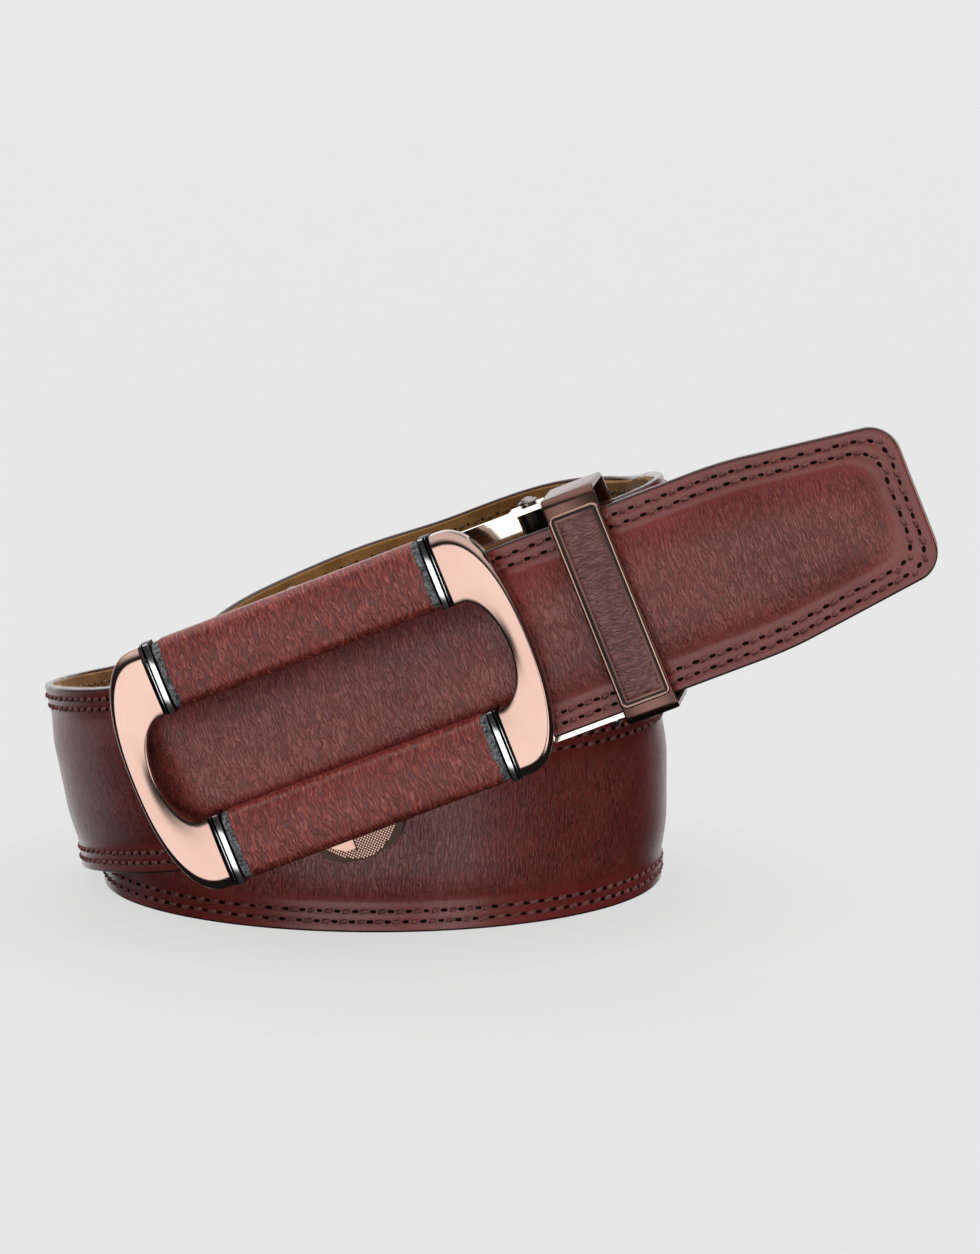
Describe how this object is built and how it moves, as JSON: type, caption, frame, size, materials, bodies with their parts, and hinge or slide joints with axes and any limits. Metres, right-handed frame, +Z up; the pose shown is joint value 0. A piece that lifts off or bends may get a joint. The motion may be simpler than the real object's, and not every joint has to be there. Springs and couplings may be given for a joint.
{
  "type": "ratchet belt",
  "caption": "Coiled padded leather ratchet belt with a polished gate buckle, a toothed track under the tail, a knurled release lever and a fixed keeper with a leather inlay.",
  "frame": {"origin": "middle of the underside of the belt's box, on the floor the coil stands on", "axes": "+X to the right of the buckle's front and along the tail, +Y away from the buckle's front, +Z up across the strap's width"},
  "size_m": [0.1584, 0.1332, 0.0944],
  "materials": {
    "strap_leather": "satin burgundy-brown grained leather",
    "suede_lining": "matt golden-brown suede",
    "track_plastic": "matt dark brown",
    "rose_metal": "polished rose gold plating",
    "wrap_leather": "satin red-brown grained leather",
    "silver_metal": "polished",
    "pin_steel": "smooth turned",
    "bronze_metal": "polished dark bronze plating"
  },
  "bodies": {
    "belt": {"strap_leather": "strap_leather", "strap_lining": "suede_lining", "ratchet_track": "track_plastic", "buckle_frame": "rose_metal", "horn_left": "rose_metal", "horn_right": "rose_metal", "bar_upper": "wrap_leather", "bar_lower": "wrap_leather", "rib_upper_left": "silver_metal", "rib_upper_right": "silver_metal", "rib_lower_left": "silver_metal", "rib_lower_right": "silver_metal", "lever_pin": "pin_steel", "clamp_plate": "pin_steel", "clamp_pin": "pin_steel", "keeper_loop": "bronze_metal", "keeper_inlay": "wrap_leather"},
    "lever": {"release_lever": "rose_metal"}
  },
  "joints": [
    {"name": "release_lever_hinge", "type": "hinge", "parent": "belt", "child": "lever", "pos_m": [-0.02517, -0.04465, 0.04315], "axis": [-0.3702, 0.0455, 0.9278], "range_deg": [0, 6], "stiffness_Nm_per_rad": 0.02}
  ]
}
